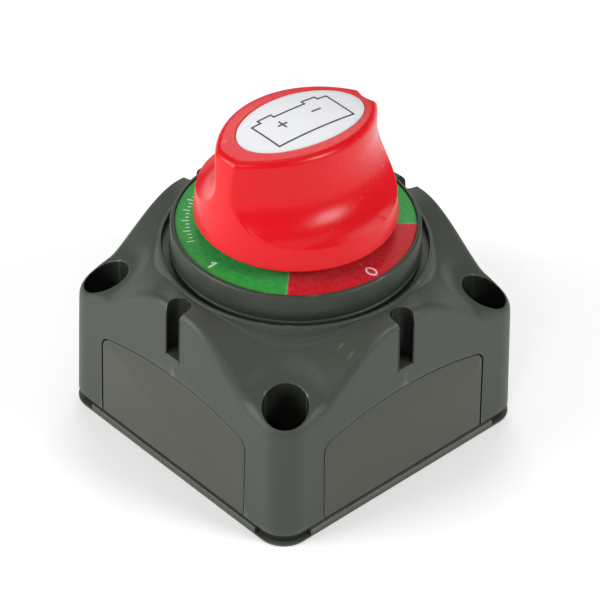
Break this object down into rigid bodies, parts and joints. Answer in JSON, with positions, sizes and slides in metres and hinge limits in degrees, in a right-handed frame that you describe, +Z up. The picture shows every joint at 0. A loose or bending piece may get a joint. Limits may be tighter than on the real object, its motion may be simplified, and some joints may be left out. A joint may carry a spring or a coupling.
{
  "type": "battery switch",
  "caption": "Square surface-mount battery isolator with removable side covers and base plate, a two-colour dial ring and a quarter-turn grip knob over sprung contacts.",
  "frame": {"origin": "middle of the underside of the base plate", "axes": "+Z up through the knob; -Y is the side where the dial's 1 lies and the knob points at rest; +X is the side of the dial's 0"},
  "size_m": [0.069, 0.069, 0.0752],
  "materials": {
    "housing_plastic": "fine-textured glass-filled moulding",
    "collar_plastic": "fine-textured glass-filled moulding",
    "plate_plastic": "fine-textured moulding",
    "cover_plastic": "fine-textured moulding",
    "dial_print": "printed green and red film",
    "knob_plastic": "semi-gloss moulding",
    "badge_film": "white printed film",
    "plated_steel": "zinc plated",
    "spring_steel": "drawn wire",
    "brass": "turned",
    "seal_rubber": "matt black",
    "nylon": "natural nylon",
    "copper": "pressed copper",
    "silver_contact": "silver alloy",
    "insulator": "black moulding",
    "tinned_copper": "tin plated"
  },
  "bodies": {
    "housing": {"case": "housing_plastic", "terminal_base": "insulator", "chamber_seal": "seal_rubber", "base_screws": "plated_steel", "line_stud": "tinned_copper", "load_stud": "tinned_copper", "flat_washers": "plated_steel", "spring_washers": "spring_steel", "terminal_nuts": "plated_steel", "dial_collar": "collar_plastic", "dial_label": "dial_print", "spindle_seal": "seal_rubber", "thrust_washer": "nylon"},
    "rotary": {"knob": "knob_plastic", "knob_badge": "badge_film", "knob_screw": "plated_steel", "spindle": "brass", "rotor": "nylon", "detent_balls": "plated_steel", "detent_springs": "spring_steel", "spring_seat": "plated_steel", "contact_spring": "spring_steel"},
    "contact": {"contact_bridge": "copper", "contact_tips": "silver_contact"},
    "base": {"base_plate": "plate_plastic"},
    "cover_front": {"side_cover_front": "cover_plastic"},
    "cover_right": {"side_cover_right": "cover_plastic"},
    "cover_back": {"side_cover_back": "cover_plastic"},
    "cover_left": {"side_cover_left": "cover_plastic"}
  },
  "joints": [
    {"name": "knob_turn", "type": "hinge", "parent": "housing", "child": "rotary", "pos_m": [0, 0, 0.045], "axis": [0, 0, 1], "range_deg": [0, 90]},
    {"name": "contact_lift", "type": "slide", "parent": "rotary", "child": "contact", "axis": [0, 0, 1], "range_m": [0, 0.0015], "deforming": ["contact_spring"]},
    {"name": "base_plate_off", "type": "slide", "parent": "housing", "child": "base", "axis": [0, 0, -1], "range_m": [0, 0.06]},
    {"name": "cover_front_off", "type": "slide", "parent": "housing", "child": "cover_front", "axis": [0, -1, 0], "range_m": [0, 0.03]},
    {"name": "cover_right_off", "type": "slide", "parent": "housing", "child": "cover_right", "axis": [1, 0, 0], "range_m": [0, 0.03]},
    {"name": "cover_back_off", "type": "slide", "parent": "housing", "child": "cover_back", "axis": [0, 1, 0], "range_m": [0, 0.03]},
    {"name": "cover_left_off", "type": "slide", "parent": "housing", "child": "cover_left", "axis": [-1, 0, 0], "range_m": [0, 0.03]}
  ],
  "couplings": [
    {"joint": "contact_lift", "follows": "knob_turn", "m_per_rad": 0.00095493}
  ]
}
